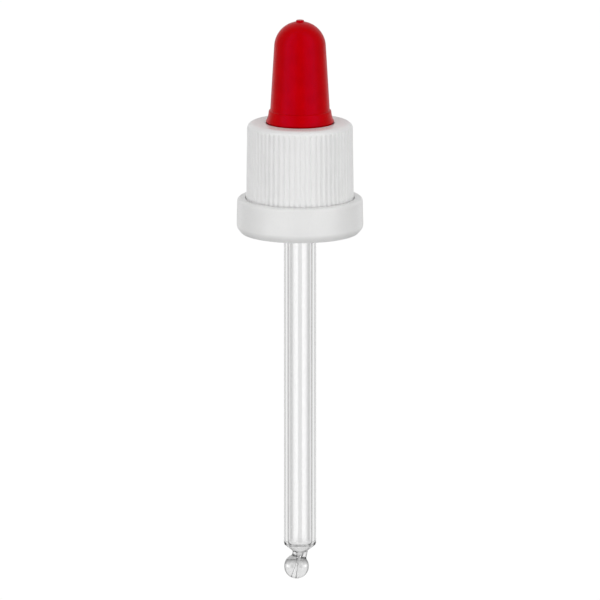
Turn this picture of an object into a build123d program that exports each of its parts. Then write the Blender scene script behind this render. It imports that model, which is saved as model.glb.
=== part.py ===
from build123d import *
from math import hypot, radians, sqrt, tan
import os

# Medicine dropper closure for an 18 mm (GL18) dropper bottle, in millimetres.
# The origin is on the axis, in the sealing plane: the underside of the teat's flange,
# which lies on the bottle's lip. +Z points up, out of the bottle, and the bent tip of
# the pipette leans towards -X.

# How far a cutter runs on past the face that it cuts through
OVERRUN = 1.0
# Two edges this close are the same edge
EDGE_TOLERANCE = 1e-3

# Screw cap: a flat top plate with a hole for the teat, and a ribbed skirt
CAP_TOP = 3.1
PLATE_UNDERSIDE = 1.6
TEAT_HOLE_R = 7.3
TEAT_HOLE_EDGE_R = 0.25
SHOULDER_R = 11.45
SHOULDER_FILLET = 1.4
SKIRT_FOOT_R = 11.65
SKIRT_FOOT = -14.6
CAP_BORE_R = 9.25
RELIEF_R = 10.4
RELIEF_TOP = -11.0

# Grip ribs: the lands left between shallow round grooves
RIB_COUNT = 60
GROOVE_R = 0.34
GROOVE_DEPTH = 0.2
GROOVE_OVERRUN = 0.1

# Internal GL18 thread
THREAD_PITCH = 3.0
THREAD_TURNS = 2.25
THREAD_START = -9.6
THREAD_CREST_R = 8.4
THREAD_ROOT_HALF_WIDTH = 0.85
THREAD_CREST_HALF_WIDTH = 0.35
THREAD_BURY = 0.2

# Tamper-evident ring below the skirt
RING_TOP = -13.4
RING_FOOT = -21.0
RING_R_TOP = 13.55
RING_R_FOOT = 13.7
RING_TOP_FILLET = 0.7
RING_CHAMFER_WIDTH = 1.0
RING_CHAMFER_HEIGHT = 1.2
RING_HOLE_R = 11.8
RING_LIP_THICKNESS = 0.8
RING_BORE_R = 12.0

# Lugs inside the ring that hook under the bottle's bead
LUG_COUNT = 8
LUG_ARC = 24.0
LUG_TOP = -15.9
LUG_TIP_Z = -18.3
LUG_FOOT = -18.7
LUG_TIP_R = 10.85
LUG_BURY = 0.5

# Breakable bridges between the ring and the skirt's foot
BRIDGE_COUNT = 12
FIRST_BRIDGE = 15.0
BRIDGE_ARC = 4.4
BRIDGE_HEIGHT = 0.7
BRIDGE_INNER_R = 10.9

# Rubber teat: flange under the cap's plate, neck in its hole, flared foot resting just
# above it, tapering wall and round dome
FLANGE_R = 8.9
FLANGE_TOP = 1.55
FLANGE_EDGE_R = 0.3
NECK_R = 7.1
FOOT_R = 7.38
FOOT_UNDERSIDE = 3.22
FOOT_THICKNESS = 0.15
FLARE_MID_R = 6.98
FLARE_MID = 4.15
FLARE_END_R = 6.78
FLARE_END = 5.45
WALL_START_R = 6.44
WALL_START = 5.85
WALL_END_R = 5.58
WALL_END = 19.95
TEAT_WALL = 1.5
PIP_R = 0.85
PIP_HEIGHT = 0.3
PIP_EDGE_R = 0.12
COLLAR_BORE_R = 3.53
COLLAR_TOP = 6.2
COLLAR_LEAD_IN = 0.5
CHAMBER_CORNER_R = 0.8

# Side walls of the teat that fingers press in, one on the left and one on the right
PRESS_LOW = 8.5
PRESS_HIGH = 19.2
PRESS_HALF_WIDTH = 3.3
PRESS_GAP = 0.12

# Glass pipette with a bent ball tip
TUBE_R = 3.5
TUBE_BORE_R = 2.5
TUBE_TOP = 6.0
TUBE_EDGE_R = 0.4
SHOULDER_Z = -90.3
SHOULDER_EDGE_R = 0.35
CONE_FOOT_Z = -91.95
TIP_NECK_R = 1.6
TIP_FILLET = 0.6
BALL_R = 2.7
BALL_X = -0.76
BALL_Z = -95.38
TIP_LEAN = 14.5
BEND_R = 3.85
BORE_END = -89.6
INNER_CONE_R = 2.3
INNER_CONE_TOP = -90.15
INNER_CONE_FOOT = -91.6
CAPILLARY_R = 0.56
NARROWING = 2.4
THROAT_R = 0.22
MOUTH_R = 0.68


def turned(outline):
    """A solid of revolution about Z from a closed outline of (radius, height)."""
    return revolve(make_face(Plane.XZ * outline), Axis.Z)


def rounded(shape, radius, r, z):
    """The shape with its circular edge at radius r and height z rounded off."""
    ring = [
        e
        for e in shape.edges().filter_by(GeomType.CIRCLE)
        if abs(e.radius - r) < EDGE_TOLERANCE
        and abs(e.center(CenterOf.BOUNDING_BOX).Z - z) < EDGE_TOLERANCE
    ]
    return fillet(ring, radius)


def around(shape, count, turn=0.0):
    """Copies of the shape spaced evenly about Z."""
    return [Rot(Z=turn + 360.0 * i / count) * shape for i in range(count)]


def thread_ridge():
    """The thread's helical ridge, buried a little in the cap's bore."""
    path = Helix(THREAD_PITCH, THREAD_TURNS * THREAD_PITCH, CAP_BORE_R)
    inward = CAP_BORE_R - THREAD_CREST_R
    section = Plane(origin=path @ 0, x_dir=(1, 0, 0), z_dir=path % 0) * Polyline(
        (THREAD_BURY, -THREAD_ROOT_HALF_WIDTH),
        (THREAD_BURY, THREAD_ROOT_HALF_WIDTH),
        (-inward, THREAD_CREST_HALF_WIDTH),
        (-inward, -THREAD_CREST_HALF_WIDTH),
        close=True,
    )
    ridge = sweep(make_face(section), path=path, is_frenet=True)
    return Pos(0, 0, THREAD_START) * ridge


def groove_cutter():
    """One rod along the skirt's slope: it cuts a groove that runs out in the shoulder."""
    run = CAP_TOP - SKIRT_FOOT
    draft = Vector(SHOULDER_R - SKIRT_FOOT_R, 0, run)
    foot = Vector(SKIRT_FOOT_R + GROOVE_R - GROOVE_DEPTH, 0, SKIRT_FOOT)
    start = foot - draft * GROOVE_OVERRUN
    length = draft.length * (1 + 2 * GROOVE_OVERRUN)
    return extrude(Plane(origin=start, z_dir=draft) * Circle(GROOVE_R), length)


def cap():
    relief_cone = RELIEF_TOP + RELIEF_R - CAP_BORE_R
    body = turned(
        Polyline(
            (TEAT_HOLE_R, CAP_TOP),
            (SHOULDER_R, CAP_TOP),
            (SKIRT_FOOT_R, SKIRT_FOOT),
            (RELIEF_R, SKIRT_FOOT),
            (RELIEF_R, RELIEF_TOP),
            (CAP_BORE_R, relief_cone),
            (CAP_BORE_R, PLATE_UNDERSIDE),
            (TEAT_HOLE_R, PLATE_UNDERSIDE),
            close=True,
        )
    )
    body = rounded(body, SHOULDER_FILLET, SHOULDER_R, CAP_TOP)
    body = rounded(body, TEAT_HOLE_EDGE_R, TEAT_HOLE_R, CAP_TOP)
    body -= around(groove_cutter(), RIB_COUNT)
    return body + thread_ridge()


def tamper_ring():
    lip_underside = RING_TOP - RING_LIP_THICKNESS
    body = turned(
        Polyline(
            (RING_HOLE_R, RING_TOP),
            (RING_R_TOP, RING_TOP),
            (RING_R_FOOT, RING_FOOT + RING_CHAMFER_HEIGHT),
            (RING_R_FOOT - RING_CHAMFER_WIDTH, RING_FOOT),
            (RING_BORE_R, RING_FOOT),
            (RING_BORE_R, lip_underside),
            (RING_HOLE_R, lip_underside),
            close=True,
        )
    )
    body = rounded(body, RING_TOP_FILLET, RING_R_TOP, RING_TOP)
    hook = Plane.XZ * Polyline(
        (RING_BORE_R + LUG_BURY, LUG_TOP),
        (RING_BORE_R, LUG_TOP),
        (LUG_TIP_R, LUG_TIP_Z),
        (LUG_TIP_R, LUG_FOOT),
        (RING_BORE_R + LUG_BURY, LUG_FOOT),
        close=True,
    )
    lug = Rot(Z=-LUG_ARC / 2) * revolve(make_face(hook), Axis.Z, LUG_ARC)
    return body + around(lug, LUG_COUNT)


def tamper_bridges():
    """Small webs, each standing on the ring's bore and touching the skirt's foot."""
    web = Plane.XZ * Polyline(
        (BRIDGE_INNER_R, SKIRT_FOOT),
        (RING_BORE_R, SKIRT_FOOT),
        (RING_BORE_R, SKIRT_FOOT - BRIDGE_HEIGHT),
        (BRIDGE_INNER_R, SKIRT_FOOT - BRIDGE_HEIGHT / 2),
        close=True,
    )
    bridge = revolve(make_face(web), Axis.Z, BRIDGE_ARC)
    return Compound(children=around(bridge, BRIDGE_COUNT, FIRST_BRIDGE - BRIDGE_ARC / 2))


def dome(radius, centre, start):
    """The arc from a point on the wall up to the axis, about a centre on the axis."""
    half = Vector(start[0], start[1] - centre + radius).normalized() * radius
    return ThreePointArc(start, (half.X, centre + half.Y), (0, centre + radius))


def teat_whole():
    """The teat as it is moulded, in one piece."""
    slope = (WALL_START_R - WALL_END_R) / (WALL_END - WALL_START)
    centre = WALL_END - slope * WALL_END_R
    dome_r = hypot(WALL_END_R, WALL_END - centre)
    foot_top = (FOOT_R, FOOT_UNDERSIDE + FOOT_THICKNESS)
    outer = turned(
        Polyline((0, 0), (FLANGE_R, 0), (FLANGE_R, FLANGE_TOP), (NECK_R, FLANGE_TOP))
        + Polyline(
            (NECK_R, FLANGE_TOP), (NECK_R, FOOT_UNDERSIDE), (FOOT_R, FOOT_UNDERSIDE), foot_top
        )
        + ThreePointArc(foot_top, (FLARE_MID_R, FLARE_MID), (FLARE_END_R, FLARE_END))
        + Line((FLARE_END_R, FLARE_END), (WALL_START_R, WALL_START))
        + Line((WALL_START_R, WALL_START), (WALL_END_R, WALL_END))
        + dome(dome_r, centre, (WALL_END_R, WALL_END))
        + Line((0, centre + dome_r), (0, 0))
    )
    outer = rounded(outer, FLANGE_EDGE_R, FLANGE_R, FLANGE_TOP)
    inner_r = dome_r - TEAT_WALL
    inner_end = (WALL_END_R - TEAT_WALL, WALL_END)
    inner_centre = WALL_END - sqrt(inner_r**2 - inner_end[0] ** 2)
    inner_start_r = WALL_START_R - TEAT_WALL
    chamber = turned(
        Polyline((0, COLLAR_TOP), (inner_start_r, COLLAR_TOP), inner_end)
        + dome(inner_r, inner_centre, inner_end)
        + Line((0, inner_centre + inner_r), (0, COLLAR_TOP))
    )
    chamber = rounded(chamber, CHAMBER_CORNER_R, inner_start_r, COLLAR_TOP)
    collar = turned(
        Polyline(
            (0, -OVERRUN),
            (COLLAR_BORE_R + COLLAR_LEAD_IN + OVERRUN, -OVERRUN),
            (COLLAR_BORE_R, COLLAR_LEAD_IN),
            (COLLAR_BORE_R, COLLAR_TOP + OVERRUN),
            (0, COLLAR_TOP + OVERRUN),
            close=True,
        )
    )
    dome_top = centre + dome_r
    pip = Pos(0, 0, dome_top) * Cylinder(PIP_R, 2 * PIP_HEIGHT)
    pip = rounded(pip, PIP_EDGE_R, PIP_R, dome_top + PIP_HEIGHT)
    return outer + pip - chamber - collar


def press_block(side, gap):
    """The straight-sided block that a pressed wall is cut from, on side +1 or -1."""
    return Pos(side * FLANGE_R / 2, 0, (PRESS_LOW + PRESS_HIGH) / 2) * Box(
        FLANGE_R, 2 * (PRESS_HALF_WIDTH - gap), PRESS_HIGH - PRESS_LOW - 2 * gap
    )


def on_ball(shape):
    """The shape moved from the origin to the ball's centre, leaning with the tip."""
    return Pos(BALL_X, 0, BALL_Z) * Rot(Y=TIP_LEAN) * shape


def bent_rod(radius, short_by=0.0):
    """A rod down the tip's axis and round the bend, ending short of the ball's centre."""
    top = Vector(0, 0, CONE_FOOT_Z)
    ball = Vector(BALL_X, 0, BALL_Z)
    bend = Vector(0, 0, BALL_Z - BALL_X / tan(radians(TIP_LEAN)))
    end = ball + (bend - ball).normalized() * short_by
    path = FilletPolyline(top, bend, end, radius=BEND_R)
    return sweep(Plane(origin=top, z_dir=(0, 0, -1)) * Circle(radius), path=path)


def ball_tip():
    """The tip's ball, with the fillet that runs up from it into the neck."""
    reach = Vector(TIP_NECK_R + TIP_FILLET, 0)
    reach.Y = -sqrt((BALL_R + TIP_FILLET) ** 2 - reach.X**2)
    start = Vector(TIP_NECK_R, reach.Y)
    meet = reach * (BALL_R / (BALL_R + TIP_FILLET))
    middle = reach + (start + meet - reach * 2).normalized() * TIP_FILLET
    upside_down = turned(
        Polyline((0, BALL_R), (0, reach.Y), start)
        + ThreePointArc(start, middle, meet)
        + dome(BALL_R, 0, (meet.X, meet.Y))
    )
    return on_ball(Rot(X=180) * upside_down)


def pipette():
    """A glass tube drawn down to a short neck that ends in a bent, pierced ball."""
    tube = turned(
        Polyline(
            (0, TUBE_TOP),
            (TUBE_R, TUBE_TOP),
            (TUBE_R, SHOULDER_Z),
            (TIP_NECK_R, CONE_FOOT_Z),
            (0, CONE_FOOT_Z),
            close=True,
        )
    )
    tube = rounded(tube, TUBE_EDGE_R, TUBE_R, TUBE_TOP)
    tube = rounded(tube, SHOULDER_EDGE_R, TUBE_R, SHOULDER_Z)
    bore = turned(
        Polyline(
            (0, TUBE_TOP + OVERRUN),
            (TUBE_BORE_R, TUBE_TOP + OVERRUN),
            (TUBE_BORE_R, BORE_END),
            (INNER_CONE_R, INNER_CONE_TOP),
            (CAPILLARY_R, INNER_CONE_FOOT),
            (CAPILLARY_R, CONE_FOOT_Z),
            (0, CONE_FOOT_Z),
            close=True,
        )
    )
    hourglass = on_ball(
        turned(
            Polyline(
                (0, NARROWING),
                (CAPILLARY_R, NARROWING),
                (THROAT_R, 0),
                (MOUTH_R, -BALL_R),
                (MOUTH_R, -BALL_R - OVERRUN),
                (0, -BALL_R - OVERRUN),
                close=True,
            )
        )
    )
    capillary = bent_rod(CAPILLARY_R, short_by=NARROWING)
    return tube + bent_rod(TIP_NECK_R) + ball_tip() - bore - capillary - hourglass


os.makedirs("parts", exist_ok=True)
teat_blank = teat_whole()
parts = {
    "cap": cap(),
    "tamper_ring": tamper_ring(),
    "tamper_bridges": tamper_bridges(),
    "teat": teat_blank - press_block(-1, 0) - press_block(1, 0),
    "teat_wall_left": teat_blank & press_block(-1, PRESS_GAP),
    "teat_wall_right": teat_blank & press_block(1, PRESS_GAP),
    "pipette": pipette(),
}
for name, shape in parts.items():
    export_step(shape, f"parts/{name}.step")
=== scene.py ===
"""A medicine dropper closure: its looks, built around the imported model's own frame."""

import math

import bmesh
import bpy
import numpy as np
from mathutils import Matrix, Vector


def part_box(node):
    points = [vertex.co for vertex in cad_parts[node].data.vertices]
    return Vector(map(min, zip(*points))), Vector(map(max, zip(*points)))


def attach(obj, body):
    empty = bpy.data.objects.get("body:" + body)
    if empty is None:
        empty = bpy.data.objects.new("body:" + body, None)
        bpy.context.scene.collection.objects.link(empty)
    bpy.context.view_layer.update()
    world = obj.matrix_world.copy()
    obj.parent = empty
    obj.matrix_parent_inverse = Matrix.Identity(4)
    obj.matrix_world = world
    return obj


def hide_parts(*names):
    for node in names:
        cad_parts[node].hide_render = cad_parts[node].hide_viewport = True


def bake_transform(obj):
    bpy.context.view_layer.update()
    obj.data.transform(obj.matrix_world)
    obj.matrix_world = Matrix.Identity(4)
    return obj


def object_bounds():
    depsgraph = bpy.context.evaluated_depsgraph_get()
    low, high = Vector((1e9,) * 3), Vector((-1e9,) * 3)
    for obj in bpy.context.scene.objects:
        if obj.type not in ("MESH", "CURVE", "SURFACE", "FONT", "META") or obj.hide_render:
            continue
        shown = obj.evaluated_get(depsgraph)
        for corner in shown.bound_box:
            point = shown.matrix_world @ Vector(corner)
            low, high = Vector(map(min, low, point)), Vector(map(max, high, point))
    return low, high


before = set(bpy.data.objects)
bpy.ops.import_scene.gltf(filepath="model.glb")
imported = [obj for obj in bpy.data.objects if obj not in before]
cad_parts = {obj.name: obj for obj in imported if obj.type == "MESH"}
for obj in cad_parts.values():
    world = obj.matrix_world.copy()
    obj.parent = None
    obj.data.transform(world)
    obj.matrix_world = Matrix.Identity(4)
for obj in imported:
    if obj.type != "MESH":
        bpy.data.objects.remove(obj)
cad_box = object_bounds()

MM = 0.001
TURN = 2 * math.pi
# Two lengths closer than this, in millimetres, are the same
ALIKE = 1e-6
# Doubled vertices closer than this, in metres, are merged
MERGE_DISTANCE = 1e-8
# Edges that turn by more than this are shaded sharp, in degrees
SHARP_ANGLE = 40.0
GLASS_SHARP_ANGLE = 60.0

# ---------------------------------------------------------------- places, from the frame
cap_low, cap_high = (Vector(corner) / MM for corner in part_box("cap"))
ring_low, ring_high = (Vector(corner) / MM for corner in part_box("tamper_ring"))
_, teat_high = (Vector(corner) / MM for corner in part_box("teat"))
tube_low, tube_high = (Vector(corner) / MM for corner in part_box("pipette"))

# ---------------------------------------------------------------- sizes in millimetres
# Heights are above the bottle's lip. A name that ends in R is a radius, from the axis or of a
# rounded edge.
# Cap
CAP_TOP = cap_high.z
SKIRT_FOOT = cap_low.z
SKIRT_FOOT_R = cap_high.x
SKIRT_DRAFT = 0.2
SKIRT_DRAFT_TOP = 0.2
SHOULDER_R = SKIRT_FOOT_R - SKIRT_DRAFT
SHOULDER_FILLET = 1.4
PLATE_THICKNESS = 1.5
TEAT_HOLE_R = 7.3
TEAT_HOLE_EDGE_R = 0.25
CAP_BORE_R = 9.25
RELIEF_R = 10.4
RELIEF_TOP = -11.0
SKIRT_EDGE_R = 0.15
# Every point of the cap beyond this radius is on its outside
OUTSIDE_R = RELIEF_R + 0.5
RIB_COUNT = 60
COLUMNS_PER_RIB = 10
RIB_DEPTH = 0.26
RIB_GROOVE_SHARE = 0.19
RIB_FADE_TOP = 2.55
RIB_FADE_LENGTH = 0.9
THREAD_PITCH = 3.0
THREAD_TURNS = 2.25
THREAD_START = -9.6
THREAD_HEIGHT = 0.85
THREAD_ROOT_HALF_WIDTH = 0.95
THREAD_CREST_HALF_WIDTH = 0.3
THREAD_RUNOUT = 0.35

# Tamper-evident ring
RING_TOP = ring_high.z
RING_FOOT = ring_low.z
RING_R_FOOT = ring_high.x
RING_DRAFT = 0.12
RING_R_TOP = RING_R_FOOT - RING_DRAFT
RING_TOP_FILLET = 0.7
RING_CHAMFER_WIDTH = 1.0
RING_CHAMFER_HEIGHT = 1.2
# How far above the chamfer the side starts to round over into it
RING_CREASE = 0.6
RING_FOOT_ROUND = 0.12
RING_HOLE_R = 11.8
RING_LIP = 0.8
RING_BORE_R = 12.0
RING_EDGE_R = 0.12
RING_COLUMNS = 480
LUG_COUNT = 8
LUG_HALF_ARC = math.radians(12.0)
LUG_SIDE_ARC = math.radians(1.5)
LUG_TOP = -15.9
LUG_TIP_Z = -18.3
LUG_FOOT = -18.7
LUG_FOOT_SLOPE = 0.1
LUG_REACH = 1.15

# Teat: FLARE_BOW to WALL_END are (radius, height) places on its outside, where stretches meet
# or, for FLARE_BOW and STEP_CORNER, the corners that curves round off
FLANGE_R = teat_high.x
FLANGE_TOP = 1.55
FLANGE_EDGE_R = 0.3
NECK_R = 7.1
FOOT_R = 7.38
FOOT_Z = 3.29
FOOT_EDGE = 0.24
FOOT_EDGE_BULGE = 0.04
FOOT_ROUND = 0.1
FLARE_BOW = (6.9, 4.05)
FLARE_END = (6.78, 5.45)
STEP_CORNER = (6.74, 5.78)
WALL_START = (6.44, 5.85)
WALL_END = (5.58, 19.95)
TEAT_WALL = 1.5
PIP_R = 0.85
PIP_TOP = teat_high.z
PIP_EDGE_R = 0.12
PIP_SPREAD = 1.25
PIP_DIMPLE_R = 0.6
PIP_DIMPLE = 0.03
COLLAR_R = 3.53
COLLAR_TOP = 6.2
COLLAR_LEAD_IN = 0.5
TEAT_HALF_COLUMNS = 96
# The height where a squeeze of the teat is deepest, and where its lower and upper pieces meet.
PRESS_MIDDLE = 14.0

# Pipette: a name that ends in S, and both ends of the bend, are distances down its axis
TUBE_R = tube_high.x
TUBE_BORE_R = 2.5
TUBE_TOP = tube_high.z
SHOULDER_S = 90.3
CONE_FOOT_S = 91.95
TIP_NECK_R = 1.6
TIP_FILLET = 0.6
BALL_R = 2.7
TUBE_EDGE_R = 0.5
TUBE_INNER_EDGE_R = 0.4
SHOULDER_ROUND = 0.22
INNER_CONE_FOOT_R = 1.0
INNER_CONE_TOP_R = 2.1
INNER_CONE_RISE = 0.3
INNER_SHOULDER = 0.8
# The channel through the ball: distances are up or down its axis from the ball's centre
CAPILLARY_R = 0.56
CAPILLARY_END = 2.7
THROAT_R = 0.22
THROAT_RISE = 0.1
THROAT_BOW_ABOVE = 0.6
THROAT_BOW_BELOW = 0.3
MOUTH_R = 0.68
MOUTH_ROUND = 0.12
MOUTH_TAPER = 0.03
BALL_Z = tube_low.z + BALL_R
TIP_LEAN = math.radians(14.5)
BEND_START = CONE_FOOT_S
BEND_END = BEND_START + 0.975
AXIS_LENGTH = 110.0
AXIS_STEP = 0.01
TUBE_COLUMNS = 128


# ---------------------------------------------------------------- mesh building
def arc(centre, radius, start, end, steps):
    """Points of a circular arc in a (radius, height) outline, angles in degrees."""
    angles = np.radians(np.linspace(start, end, steps + 1))
    return [
        (centre[0] + radius * math.cos(a), centre[1] + radius * math.sin(a))
        for a in angles
    ]


def line(start, end, steps):
    """Evenly spaced points from start to end, both included."""
    return [
        tuple(np.array(start) + (np.array(end) - np.array(start)) * i / steps)
        for i in range(steps + 1)
    ]


def bowed(start, corner, end, steps):
    """Points of a smooth curve that rounds off a corner between start and end."""
    start, corner, end = (np.array(point) for point in (start, corner, end))
    return [
        tuple((1 - t) ** 2 * start + 2 * t * (1 - t) * corner + t**2 * end)
        for t in np.linspace(0, 1, steps + 1)
    ]


def smoothstep(t):
    """0 below 0, 1 above 1, and a smooth S between."""
    t = min(max(t, 0.0), 1.0)
    return t * t * (3 - 2 * t)


def joined(*stretches):
    """One outline from several stretches, without doubled points."""
    outline = []
    for stretch in stretches:
        for point in stretch:
            if not outline or math.dist(outline[-1], point) > ALIKE:
                outline.append(point)
    if math.dist(outline[0], outline[-1]) < ALIKE:
        outline.pop()
    return outline


def piece_from(name, vertices, faces, body, slot, material, sharp=SHARP_ANGLE):
    """A closed, smooth-shaded piece that rides on a body, if one is named."""
    mesh = bpy.data.meshes.new(name)
    mesh.from_pydata([tuple(c * MM for c in v) for v in vertices], [], faces)
    shell = bmesh.new()
    shell.from_mesh(mesh)
    bmesh.ops.remove_doubles(shell, verts=shell.verts, dist=MERGE_DISTANCE)
    bmesh.ops.recalc_face_normals(shell, faces=shell.faces)
    shell.to_mesh(mesh)
    shell.free()
    mesh.shade_smooth()
    mesh.set_sharp_from_angle(angle=math.radians(sharp))
    mesh.materials.append(material)
    piece = bpy.data.objects.new(name, mesh)
    bpy.context.scene.collection.objects.link(piece)
    if body:
        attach(piece, body)
    return piece


def lathe(outline, columns, place, span=TURN, start=0.0):
    """Vertices and faces of a closed outline carried round an axis.

    place(row, angle) gives a point. With a span under a full turn, the two ends are closed
    by flat faces. A row on the axis, at radius 0, makes triangles.
    """
    full = span == TURN
    rows = len(outline)
    stops = columns if full else columns + 1
    vertices = [
        place(row, start + span * j / columns) for j in range(stops) for row in outline
    ]
    faces = []
    for j in range(columns):
        here = j * rows
        there = ((j + 1) % stops) * rows
        for i in range(rows):
            k = (i + 1) % rows
            corners = [here + i, here + k, there + k, there + i]
            first_on_axis = outline[i][0] == 0
            second_on_axis = outline[k][0] == 0
            if first_on_axis and second_on_axis:
                continue
            if first_on_axis:
                corners.pop(3)
            elif second_on_axis:
                corners.pop(2)
            faces.append(corners)
    if not full:
        faces.append(list(range(rows)))
        faces.append(list(range(rows * columns, rows * stops)))
    return vertices, faces


def upright(row, angle):
    """A point at radius row[0] and height row[1], round the Z axis."""
    return (row[0] * math.cos(angle), row[0] * math.sin(angle), row[1])


# ---------------------------------------------------------------- materials
# The part of a noise texture's range that its values mostly fill
NOISE_LOW = 0.3
NOISE_HIGH = 0.7


def add(material, kind, **settings):
    """A new node; a setting names an input socket or a property of the node."""
    node = material.node_tree.nodes.new(kind)
    for key, value in settings.items():
        name = key.replace("_", " ")
        socket = next((s for s in node.inputs if s.name.lower() == name.lower()), None)
        if socket is not None:
            socket.default_value = value
        else:
            setattr(node, key, value)
    return node


def wire(material, source, output, target, socket):
    material.node_tree.links.new(source.outputs[output], target.inputs[socket])


def noise(material, place, output, scale, detail, roughness=0.55):
    """A noise texture that reads its place from an output of another node."""
    node = add(material, "ShaderNodeTexNoise", Scale=scale, Detail=detail, Roughness=roughness)
    wire(material, place, output, node, "Vector")
    return node


def ranged(material, texture, low, high):
    """A number between two, by a noise texture's value."""
    node = add(
        material,
        "ShaderNodeMapRange",
        From_Min=NOISE_LOW,
        From_Max=NOISE_HIGH,
        To_Min=low,
        To_Max=high,
    )
    wire(material, texture, "Fac", node, "Value")
    return node


def blended(material, texture, low, high):
    """A colour between two, by a noise texture's value."""
    ramp = add(material, "ShaderNodeValToRGB")
    ends = ramp.color_ramp.elements
    for end, position, colour in zip(ends, (NOISE_LOW, NOISE_HIGH), (low, high)):
        end.position = position
        end.color = (*colour, 1)
    wire(material, texture, "Fac", ramp, "Fac")
    return ramp


def principled(name):
    """A new material, its shader and its texture coordinates."""
    material = bpy.data.materials.new(name)
    material.use_nodes = True
    shader = material.node_tree.nodes["Principled BSDF"]
    place = add(material, "ShaderNodeTexCoord")
    return material, shader, place


def bumped(material, shader, layers):
    """Bumps one on another, coarse first. A layer is (noise texture, strength, depth in mm)."""
    last = None
    for texture, strength, depth in layers:
        node = add(material, "ShaderNodeBump", Strength=strength, Distance=depth * MM)
        wire(material, texture, "Fac", node, "Height")
        if last is not None:
            wire(material, last, "Normal", node, "Normal")
        last = node
    wire(material, last, "Normal", shader, "Normal")


def white_plastic(name, light, dark):
    """Moulded polypropylene: faint flow mottling, a spark-eroded satin skin, slightly milky."""
    material, shader, place = principled(name)
    flow = noise(material, place, "Object", scale=220, detail=2)
    skin = noise(material, place, "Object", scale=5200, detail=4, roughness=0.7)
    tint = blended(material, flow, dark, light)
    wire(material, tint, "Color", shader, "Base Color")
    gloss = ranged(material, skin, 0.25, 0.34)
    wire(material, gloss, "Result", shader, "Roughness")
    bumped(material, shader, [(flow, 0.25, 0.02), (skin, 0.1, 0.006)])
    shader.inputs["IOR"].default_value = 1.5
    shader.inputs["Subsurface Weight"].default_value = 0.2
    shader.inputs["Subsurface Radius"].default_value = (1.0, 1.0, 1.0)
    shader.inputs["Subsurface Scale"].default_value = 0.4 * MM
    return material


def red_rubber(name):
    """Moulded rubber: silky, with fine bloom and tiny pores."""
    material, shader, place = principled(name)
    bloom = noise(material, place, "Object", scale=380, detail=4)
    pores = noise(material, place, "Object", scale=7500, detail=3, roughness=0.6)
    tint = blended(material, bloom, (0.49, 0.0, 0.0003), (0.56, 0.0001, 0.0006))
    wire(material, tint, "Color", shader, "Base Color")
    gloss = ranged(material, pores, 0.24, 0.34)
    wire(material, gloss, "Result", shader, "Roughness")
    bumped(material, shader, [(bloom, 0.2, 0.03), (pores, 0.3, 0.008)])
    shader.inputs["IOR"].default_value = 1.2
    shader.inputs["Specular Tint"].default_value = (1.0, 0.08, 0.7, 1)
    return material


def clear_glass(name):
    """Drawn borosilicate tube: clear and smooth, with very faint drawing lines along it."""
    material, shader, place = principled(name)
    along = add(material, "ShaderNodeMapping")
    along.inputs["Scale"].default_value = (1.0, 1.0, 0.02)
    wire(material, place, "Object", along, "Vector")
    drawn = noise(material, along, "Vector", scale=900, detail=2, roughness=0.5)
    bumped(material, shader, [(drawn, 0.12, 0.01)])
    gloss = ranged(material, drawn, 0.0, 0.02)
    wire(material, gloss, "Result", shader, "Roughness")
    shader.inputs["Base Color"].default_value = (1.0, 1.0, 1.0, 1)
    shader.inputs["Transmission Weight"].default_value = 1.0
    shader.inputs["IOR"].default_value = 1.473
    return material


CAP_PLASTIC = white_plastic("cap_polypropylene", (0.86, 0.86, 0.858), (0.84, 0.84, 0.838))
RING_PLASTIC = white_plastic("ring_polypropylene", (0.85, 0.85, 0.845), (0.83, 0.83, 0.825))
RUBBER = red_rubber("teat_rubber")
GLASS = clear_glass("pipette_glass")


# ---------------------------------------------------------------- cap
def rib_depth(angle, z):
    """How deep the groove between two ribs is here."""
    turn = (angle / TURN * RIB_COUNT + 0.5) % 1.0 - 0.5
    groove = math.exp(-((turn / RIB_GROOVE_SHARE) ** 2))
    return RIB_DEPTH * groove * smoothstep((RIB_FADE_TOP - z) / RIB_FADE_LENGTH)


def thread_height(angle, z):
    """How far the thread's ridge stands out of the cap's bore here."""
    best = 0.0
    for lap in range(math.ceil(THREAD_TURNS)):
        along = angle / TURN + lap
        if along > THREAD_TURNS:
            continue
        off = abs(z - THREAD_START - THREAD_PITCH * along)
        flank = (THREAD_ROOT_HALF_WIDTH - off) / (THREAD_ROOT_HALF_WIDTH - THREAD_CREST_HALF_WIDTH)
        runout = min(along, THREAD_TURNS - along) / (THREAD_RUNOUT / TURN)
        best = max(best, THREAD_HEIGHT * smoothstep(flank) * smoothstep(runout))
    return best


def cap_point(row, angle):
    """A point of the cap: the outline's own, cut by the ribs or raised by the thread."""
    r, z = row
    if r > OUTSIDE_R and z < RIB_FADE_TOP:
        r -= rib_depth(angle, z)
    elif abs(r - CAP_BORE_R) < ALIKE:
        r -= thread_height(angle, z)
    return upright((r, z), angle)


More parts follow.
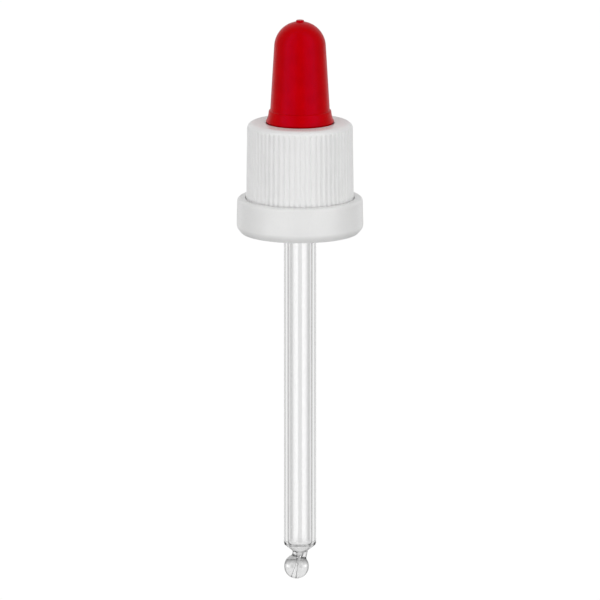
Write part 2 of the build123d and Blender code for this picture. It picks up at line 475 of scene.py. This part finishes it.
def make_cap():
    edge = (TEAT_HOLE_R + TEAT_HOLE_EDGE_R, CAP_TOP - TEAT_HOLE_EDGE_R)
    shoulder = (SHOULDER_R - SHOULDER_FILLET, CAP_TOP - SHOULDER_FILLET)
    skirt_top = (SHOULDER_R, shoulder[1])
    foot = (SKIRT_FOOT_R - SKIRT_EDGE_R, SKIRT_FOOT + SKIRT_EDGE_R)
    underside = CAP_TOP - PLATE_THICKNESS
    relief_cone = RELIEF_TOP + RELIEF_R - CAP_BORE_R
    outline = joined(
        line((TEAT_HOLE_R, underside), (TEAT_HOLE_R, edge[1]), 2),
        arc(edge, TEAT_HOLE_EDGE_R, 180, 90, 6),
        line((edge[0], CAP_TOP), (shoulder[0], CAP_TOP), 5),
        arc(shoulder, SHOULDER_FILLET, 90, 0, 14),
        line(skirt_top, (SHOULDER_R, SKIRT_DRAFT_TOP), 4),
        line((SHOULDER_R, SKIRT_DRAFT_TOP), (SKIRT_FOOT_R, foot[1]), 12),
        arc(foot, SKIRT_EDGE_R, 0, -90, 3),
        line((foot[0], SKIRT_FOOT), (RELIEF_R, SKIRT_FOOT), 2),
        line((RELIEF_R, SKIRT_FOOT), (RELIEF_R, RELIEF_TOP), 3),
        line((RELIEF_R, RELIEF_TOP), (CAP_BORE_R, relief_cone), 2),
        line((CAP_BORE_R, relief_cone), (CAP_BORE_R, underside), 76),
        line((CAP_BORE_R, underside), (TEAT_HOLE_R, underside), 3),
    )
    shape = lathe(outline, RIB_COUNT * COLUMNS_PER_RIB, cap_point)
    piece = piece_from("cap_moulding", *shape, "cap", "white_polypropylene", CAP_PLASTIC)
    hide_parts("cap")


# ---------------------------------------------------------------- tamper-evident ring
def lug_reach(angle, z):
    """How far a retention lug stands out of the ring's bore here."""
    pitch = TURN / LUG_COUNT
    off = abs((angle + pitch / 2) % pitch - pitch / 2)
    side = smoothstep((LUG_HALF_ARC - off) / LUG_SIDE_ARC + 0.5)
    if z > LUG_TIP_Z:
        slope = (LUG_TOP - z) / (LUG_TOP - LUG_TIP_Z)
    else:
        slope = (z - LUG_FOOT) / LUG_FOOT_SLOPE + 1.0
    return LUG_REACH * side * min(max(slope, 0.0), 1.0)


def ring_point(row, angle):
    """A point of the ring: the outline's own, raised inwards by a lug."""
    r, z = row
    if abs(r - RING_BORE_R) < ALIKE:
        r -= lug_reach(angle, z)
    return upright((r, z), angle)


def make_ring():
    top = (RING_R_TOP - RING_TOP_FILLET, RING_TOP - RING_TOP_FILLET)
    crease_z = RING_FOOT + RING_CHAMFER_HEIGHT
    crease_top = (RING_R_FOOT, crease_z + RING_CREASE)
    chamfer_middle = (RING_R_FOOT - RING_CHAMFER_WIDTH / 2, crease_z - RING_CHAMFER_HEIGHT / 2)
    foot_r = RING_R_FOOT - RING_CHAMFER_WIDTH
    foot_slant = RING_FOOT_ROUND * RING_CHAMFER_WIDTH / RING_CHAMFER_HEIGHT
    chamfer_end = (foot_r + foot_slant, RING_FOOT + RING_FOOT_ROUND)
    foot_start = (foot_r - RING_FOOT_ROUND, RING_FOOT)
    lug_end = (RING_BORE_R, LUG_FOOT - LUG_FOOT_SLOPE)
    hole = (RING_HOLE_R + RING_EDGE_R, RING_TOP - RING_EDGE_R)
    lip = RING_TOP - RING_LIP
    outline = joined(
        line((RING_HOLE_R, lip), (RING_HOLE_R, hole[1]), 2),
        arc(hole, RING_EDGE_R, 180, 90, 4),
        line((hole[0], RING_TOP), (top[0], RING_TOP), 2),
        arc(top, RING_TOP_FILLET, 90, 0, 12),
        line((RING_R_TOP, top[1]), crease_top, 6),
        bowed(crease_top, (RING_R_FOOT, crease_z), chamfer_middle, 12),
        line(chamfer_middle, chamfer_end, 3),
        bowed(chamfer_end, (foot_r, RING_FOOT), foot_start, 4),
        line(foot_start, (RING_BORE_R, RING_FOOT), 2),
        line((RING_BORE_R, RING_FOOT), lug_end, 3),
        line(lug_end, (RING_BORE_R, LUG_TIP_Z), 5),
        line((RING_BORE_R, LUG_TIP_Z), (RING_BORE_R, LUG_TOP), 6),
        line((RING_BORE_R, LUG_TOP), (RING_BORE_R, lip), 2),
    )
    shape = lathe(outline, RING_COLUMNS, ring_point)
    piece = piece_from("ring_moulding", *shape, "tamper_ring", "white_polypropylene", RING_PLASTIC)
    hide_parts("tamper_ring")


# ---------------------------------------------------------------- teat
def teat_outlines():
    """The closed outlines of the teat below and above the middle of its pressed walls."""
    slope = (WALL_START[0] - WALL_END[0]) / (WALL_END[1] - WALL_START[1])
    centre = WALL_END[1] - slope * WALL_END[0]
    dome_r = math.hypot(WALL_END[0], WALL_END[1] - centre)
    start = math.degrees(math.atan2(WALL_END[1] - centre, WALL_END[0]))
    inner_r = dome_r - TEAT_WALL
    inner_end = (WALL_END[0] - TEAT_WALL, WALL_END[1])
    inner_centre = WALL_END[1] - math.sqrt(inner_r**2 - inner_end[0] ** 2)
    inner_start = math.degrees(math.atan2(inner_end[1] - inner_centre, inner_end[0]))
    inner_foot = (WALL_START[0] - TEAT_WALL, COLLAR_TOP)
    middle_r = WALL_START[0] - slope * (PRESS_MIDDLE - WALL_START[1])
    inner_middle = (middle_r - TEAT_WALL, PRESS_MIDDLE)
    flange = (FLANGE_R - FLANGE_EDGE_R, FLANGE_TOP - FLANGE_EDGE_R)
    neck_end = (NECK_R, FOOT_Z - FOOT_ROUND)
    foot_start = (NECK_R + FOOT_ROUND, FOOT_Z)
    foot_under = (FOOT_R - FOOT_ROUND, FOOT_Z)
    foot_corner = (FOOT_R + FOOT_EDGE_BULGE, FOOT_Z)
    foot_edge = (FOOT_R - FOOT_EDGE_BULGE, FOOT_Z + FOOT_EDGE)
    lower = joined(
        line((COLLAR_R + COLLAR_LEAD_IN, 0), (FLANGE_R, 0), 4),
        line((FLANGE_R, 0), (FLANGE_R, flange[1]), 2),
        arc(flange, FLANGE_EDGE_R, 0, 90, 4),
        line((flange[0], FLANGE_TOP), (NECK_R, FLANGE_TOP), 2),
        line((NECK_R, FLANGE_TOP), neck_end, 2),
        bowed(neck_end, (NECK_R, FOOT_Z), foot_start, 3),
        bowed(foot_under, foot_corner, foot_edge, 6),
        bowed(foot_edge, FLARE_BOW, FLARE_END, 12),
        bowed(FLARE_END, STEP_CORNER, WALL_START, 6),
        line(WALL_START, (middle_r, PRESS_MIDDLE), 36),
        line(inner_middle, inner_foot, 30),
        line(inner_foot, (COLLAR_R, COLLAR_TOP), 2),
        line((COLLAR_R, COLLAR_TOP), (COLLAR_R, COLLAR_LEAD_IN), 4),
    )
    pip_angle = math.acos(PIP_R * PIP_SPREAD / dome_r)
    pip_foot = (PIP_R * PIP_SPREAD, centre + dome_r * math.sin(pip_angle))
    pip_edge = (PIP_R, PIP_TOP - PIP_EDGE_R)
    pip_rim = (PIP_DIMPLE_R, PIP_TOP)
    upper = joined(
        line((middle_r, PRESS_MIDDLE), WALL_END, 26),
        arc((0, centre), dome_r, start, math.degrees(pip_angle), 28),
        bowed(pip_foot, (PIP_R, pip_foot[1]), pip_edge, 4),
        bowed(pip_edge, (PIP_R, PIP_TOP), pip_rim, 4),
        line(pip_rim, (0.0, PIP_TOP - PIP_DIMPLE), 3),
        arc((0, inner_centre), inner_r, 90, inner_start, 18),
        line(inner_end, inner_middle, 24),
    )
    return lower, upper


def make_teat():
    """Four closed pieces that meet on the teat's middle plane and at the pressed height."""
    for level, outline in zip(("lower", "upper"), teat_outlines()):
        outline = [(r if r > ALIKE else 0.0, z) for r, z in outline]
        for side, way in (("right", 1), ("left", -1)):
            start = -way * TURN / 4
            shape = lathe(outline, TEAT_HALF_COLUMNS, upright, span=TURN / 2, start=start)
            name = f"teat_{level}_{side}"
            piece = piece_from(name, *shape, None, "red_rubber", RUBBER)
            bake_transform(piece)
    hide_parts("teat", "teat_wall_right")
    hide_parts("teat_wall_left")


# ---------------------------------------------------------------- pipette
def bent_axis():
    """Distance down, x, z and lean of the tube's axis at each step from the sealing plane."""
    track = [(0.0, 0.0, 0.0, 0.0)]
    while track[-1][0] < AXIS_LENGTH:
        s, x, z, _ = track[-1]
        lean = TIP_LEAN * min(max((s - BEND_START) / (BEND_END - BEND_START), 0.0), 1.0)
        x -= math.sin(lean) * AXIS_STEP
        z -= math.cos(lean) * AXIS_STEP
        track.append((s + AXIS_STEP, x, z, lean))
    return np.array(track)


AXIS = bent_axis()


def tube_point(row, angle):
    """A point at radius row[0], row[1] down the bent axis (negative above the lip)."""
    r, s = row
    x, z, lean = 0.0, -s, 0.0
    if s > 0:
        x, z, lean = (float(np.interp(s, AXIS[:, 0], AXIS[:, k])) for k in (1, 2, 3))
    across = r * math.cos(angle)
    return (x + across * math.cos(lean), r * math.sin(angle), z - across * math.sin(lean))


def make_pipette():
    ball_s = float(np.interp(-BALL_Z, -AXIS[:, 2], AXIS[:, 0]))
    reach = TIP_NECK_R + TIP_FILLET
    crease = math.sqrt((BALL_R + TIP_FILLET) ** 2 - reach**2)
    throat_angle = math.degrees(math.atan2(-crease, reach))
    mouth_angle = math.acos((MOUTH_R + MOUTH_ROUND) / BALL_R)
    mouth_s = ball_s + BALL_R * math.sin(mouth_angle)
    mouth = (MOUTH_R + MOUTH_ROUND, mouth_s)
    mouth_inner = (MOUTH_R - MOUTH_TAPER, mouth_s - MOUTH_ROUND)
    throat = (THROAT_R, ball_s - THROAT_RISE)
    throat_below = (THROAT_R, ball_s + THROAT_BOW_BELOW)
    throat_above = (THROAT_R, ball_s - THROAT_BOW_ABOVE)
    edge_s = TUBE_EDGE_R - TUBE_TOP
    inner_edge_s = TUBE_INNER_EDGE_R - TUBE_TOP
    cone_start = (TUBE_R - SHOULDER_ROUND, SHOULDER_S + SHOULDER_ROUND)
    cone_end = (TIP_NECK_R + SHOULDER_ROUND, CONE_FOOT_S - SHOULDER_ROUND)
    inner_cone_foot = (INNER_CONE_FOOT_R, CONE_FOOT_S - INNER_CONE_RISE)
    inner_cone_top = (INNER_CONE_TOP_R, SHOULDER_S + SHOULDER_ROUND)
    bore_end = (TUBE_BORE_R, SHOULDER_S - INNER_SHOULDER)
    capillary = (CAPILLARY_R, ball_s - CAPILLARY_END)
    outline = joined(
        arc((TUBE_R - TUBE_EDGE_R, edge_s), TUBE_EDGE_R, -90, 0, 6),
        line((TUBE_R, edge_s), (TUBE_R, SHOULDER_S - SHOULDER_ROUND), 60),
        bowed((TUBE_R, SHOULDER_S - SHOULDER_ROUND), (TUBE_R, SHOULDER_S), cone_start, 6),
        line(cone_start, cone_end, 8),
        bowed(cone_end, (TIP_NECK_R, CONE_FOOT_S), (TIP_NECK_R, CONE_FOOT_S + TIP_FILLET), 6),
        arc((reach, ball_s - crease), TIP_FILLET, 180, throat_angle + 180, 8),
        arc((0, ball_s), BALL_R, throat_angle, math.degrees(mouth_angle), 30),
        bowed(mouth, (MOUTH_R, mouth_s), mouth_inner, 4),
        bowed(mouth_inner, throat_below, throat, 10),
        bowed(throat, throat_above, capillary, 10),
        bowed(capillary, (CAPILLARY_R, CONE_FOOT_S), inner_cone_foot, 6),
        line(inner_cone_foot, inner_cone_top, 6),
        bowed(inner_cone_top, (TUBE_BORE_R, SHOULDER_S - SHOULDER_ROUND), bore_end, 6),
        line(bore_end, (TUBE_BORE_R, inner_edge_s), 60),
        arc((TUBE_BORE_R + TUBE_INNER_EDGE_R, inner_edge_s), TUBE_INNER_EDGE_R, 180, 270, 5),
    )
    shape = lathe(outline, TUBE_COLUMNS, tube_point)
    piece = piece_from(
        "pipette_glass", *shape, "pipette", "clear_glass", GLASS, sharp=GLASS_SHARP_ANGLE
    )
    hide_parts("pipette")


# ---------------------------------------------------------------- bridges
def dress_bridges():
    """The bridges keep their CAD shape and take the ring's plastic."""
    bridges = bpy.data.objects["tamper_bridges"]
    for holder in bridges.material_slots:
        holder.material = RING_PLASTIC


make_cap()
make_ring()
make_teat()
make_pipette()
dress_bridges()


# ---------------------------------------------------------------- studio
# The tent's light against degrees round from straight behind the object, the same on both
# sides: a soft back, dark side curtains, a bright panel each side of the camera and a dark gap
# where the camera stands
TENT_STRENGTH = 2.4
TENT_WALLS = [
    (0, 0.8), (42, 0.8), (58, 0.3), (104, 0.4), (112, 2.1), (132, 2.1), (138, 1.3),
    (156, 1.25), (166, 0.3),
]
# A low band of the tent, which the long tube mirrors, has narrower panels of its own
TENT_BAND = [
    (0, 0.85), (15, 0.55), (35, 1.1), (60, 0.35), (110, 0.3), (120, 2.2), (160, 2.2), (165, 0.2),
]
# How much of the band shows, and how bright the walls are, against the height of the direction
BAND_SHARE = [(-0.31, 0.0), (-0.26, 1.0), (-0.15, 1.0), (-0.1, 0.0)]
TENT_HEIGHT = [
    (-1.0, 0.2), (-0.6, 0.3), (-0.35, 0.8), (0.0, 0.95), (0.55, 1.03), (0.8, 0.8), (1.0, 0.45),
]
# What the camera itself sees: a white tent and a pale grey floor
SEEN_TENT = 1.02
SEEN_FLOOR = 0.86
# The floor's height and radius, in metres, and the grey that it reflects
FLOOR_Z = -0.45
FLOOR_RADIUS = 0.45
FLOOR_GREY = 0.65
# The camera: metres, except for the sensor's width in millimetres and the angle in degrees
CAMERA_DISTANCE = 2.0
CAMERA_ELEVATION = 11.9
CAMERA_RAISE = 0.00018
SENSOR_WIDTH = 36.0
VIEW_WIDTH = 0.13


def make_floor():
    """A wide pale floor, far enough down to clear every pose."""
    rings, columns = 6, 96
    vertices = [(0.0, 0.0, FLOOR_Z)]
    faces = []
    for i in range(1, rings + 1):
        r = FLOOR_RADIUS * i / rings
        for j in range(columns):
            angle = TURN * j / columns
            vertices.append((r * math.cos(angle), r * math.sin(angle), FLOOR_Z))
    for j in range(columns):
        k = (j + 1) % columns
        faces.append((0, 1 + j, 1 + k))
        for i in range(rings - 1):
            inner = 1 + i * columns
            outer = inner + columns
            faces.append((inner + j, outer + j, outer + k, inner + k))
    mesh = bpy.data.meshes.new("floor")
    mesh.from_pydata(vertices, [], faces)
    floor = bpy.data.objects.new("floor", mesh)
    bpy.context.scene.collection.objects.link(floor)
    material = bpy.data.materials.new("floor_white")
    material.use_nodes = True
    shader = material.node_tree.nodes["Principled BSDF"]
    shader.inputs["Base Color"].default_value = (FLOOR_GREY, FLOOR_GREY, FLOOR_GREY, 1)
    shader.inputs["Roughness"].default_value = 0.9
    pale = add(material, "ShaderNodeEmission", Color=(SEEN_FLOOR, SEEN_FLOOR, SEEN_FLOOR, 1))
    seen = add(material, "ShaderNodeLightPath")
    chosen = add(material, "ShaderNodeMixShader")
    wire(material, seen, "Is Camera Ray", chosen, "Fac")
    wire(material, shader, "BSDF", chosen, 1)
    wire(material, pale, "Emission", chosen, 2)
    wire(material, chosen, "Shader", material.node_tree.nodes["Material Output"], "Surface")
    mesh.materials.append(material)


def make_world():
    """A light tent: bright front panels either side of the camera, greyer sides, a white back."""
    world = bpy.data.worlds.new("light_tent")
    bpy.context.scene.world = world
    world.use_nodes = True
    nodes, links = world.node_tree.nodes, world.node_tree.links
    nodes.clear()
    place = nodes.new("ShaderNodeTexCoord")
    split = nodes.new("ShaderNodeSeparateXYZ")
    links.new(place.outputs["Generated"], split.inputs[0])

    def maths(operation, first, second=None):
        node = nodes.new("ShaderNodeMath")
        node.operation = operation
        for socket, value in zip(node.inputs, (first, second)):
            if isinstance(value, (int, float)):
                socket.default_value = value
            elif value is not None:
                links.new(value, socket)
        return node.outputs[0]

    def ramp(source, stops):
        node = nodes.new("ShaderNodeValToRGB")
        node.color_ramp.interpolation = "LINEAR"
        points = node.color_ramp.elements
        for position, _ in stops[2:]:
            points.new(position)
        for point, (position, value) in zip(points, stops):
            point.position = position
            point.color = (value, value, value, 1)
        links.new(source, node.inputs[0])
        return node.outputs["Color"]

    turned = maths("ARCTAN2", split.outputs["X"], split.outputs["Y"])
    share_round = maths("ADD", maths("DIVIDE", turned, TURN), 0.5)
    halfway = maths("ADD", maths("MULTIPLY", split.outputs["Z"], 0.5), 0.5)

    def both_sides(stops):
        """Stops round the tent, as shares of a turn, from stops down one side of it."""
        right = [(0.5 + degrees / 360, light / TENT_STRENGTH) for degrees, light in stops]
        left = [(1 - position, light) for position, light in reversed(right[1:])]
        return left + right

    def by_height(stops):
        """Stops from straight down, 0, to straight up, 1."""
        return [((1 + z) / 2, value) for z, value in stops]

    band = ramp(share_round, both_sides(TENT_BAND))
    share = ramp(halfway, by_height(BAND_SHARE))
    walls = ramp(share_round, both_sides(TENT_WALLS))
    height = ramp(halfway, by_height(TENT_HEIGHT))
    dome = nodes.new("ShaderNodeMix")
    dome.data_type = "RGBA"
    dome.blend_type = "MULTIPLY"
    dome.inputs["Factor"].default_value = 1.0
    links.new(walls, dome.inputs["A"])
    links.new(height, dome.inputs["B"])
    mixed = nodes.new("ShaderNodeMix")
    mixed.data_type = "RGBA"
    links.new(share, mixed.inputs["Factor"])
    links.new(dome.outputs["Result"], mixed.inputs["A"])
    links.new(band, mixed.inputs["B"])
    tent = nodes.new("ShaderNodeBackground")
    tent.inputs["Strength"].default_value = TENT_STRENGTH
    links.new(mixed.outputs["Result"], tent.inputs["Color"])
    plain = nodes.new("ShaderNodeBackground")
    plain.inputs["Color"].default_value = (1, 1, 1, 1)
    plain.inputs["Strength"].default_value = SEEN_TENT
    seen = nodes.new("ShaderNodeLightPath")
    chosen = nodes.new("ShaderNodeMixShader")
    links.new(seen.outputs["Is Camera Ray"], chosen.inputs["Fac"])
    links.new(tent.outputs[0], chosen.inputs[1])
    links.new(plain.outputs[0], chosen.inputs[2])
    output = nodes.new("ShaderNodeOutputWorld")
    links.new(chosen.outputs[0], output.inputs["Surface"])


def make_camera():
    """A long lens, a little above the object, looking along +Y."""
    low, high = (Vector(corner) for corner in cad_box)
    elevation = math.radians(CAMERA_ELEVATION)
    aim = Vector((0.0, 0.0, (low.z + high.z) / 2 + CAMERA_RAISE))
    camera = bpy.data.cameras.new("camera")
    camera.sensor_width = SENSOR_WIDTH
    camera.lens = SENSOR_WIDTH * CAMERA_DISTANCE / VIEW_WIDTH
    camera.clip_start = 0.1
    camera.clip_end = 20.0
    holder = bpy.data.objects.new("camera", camera)
    bpy.context.scene.collection.objects.link(holder)
    back = Vector((0.0, -math.cos(elevation), math.sin(elevation)))
    holder.location = aim + back * CAMERA_DISTANCE
    holder.rotation_mode = "QUATERNION"
    holder.rotation_quaternion = (-back).to_track_quat("-Z", "Y")
    bpy.context.scene.camera = holder


make_floor()
make_world()
make_camera()
bpy.context.scene.view_settings.view_transform = "Standard"
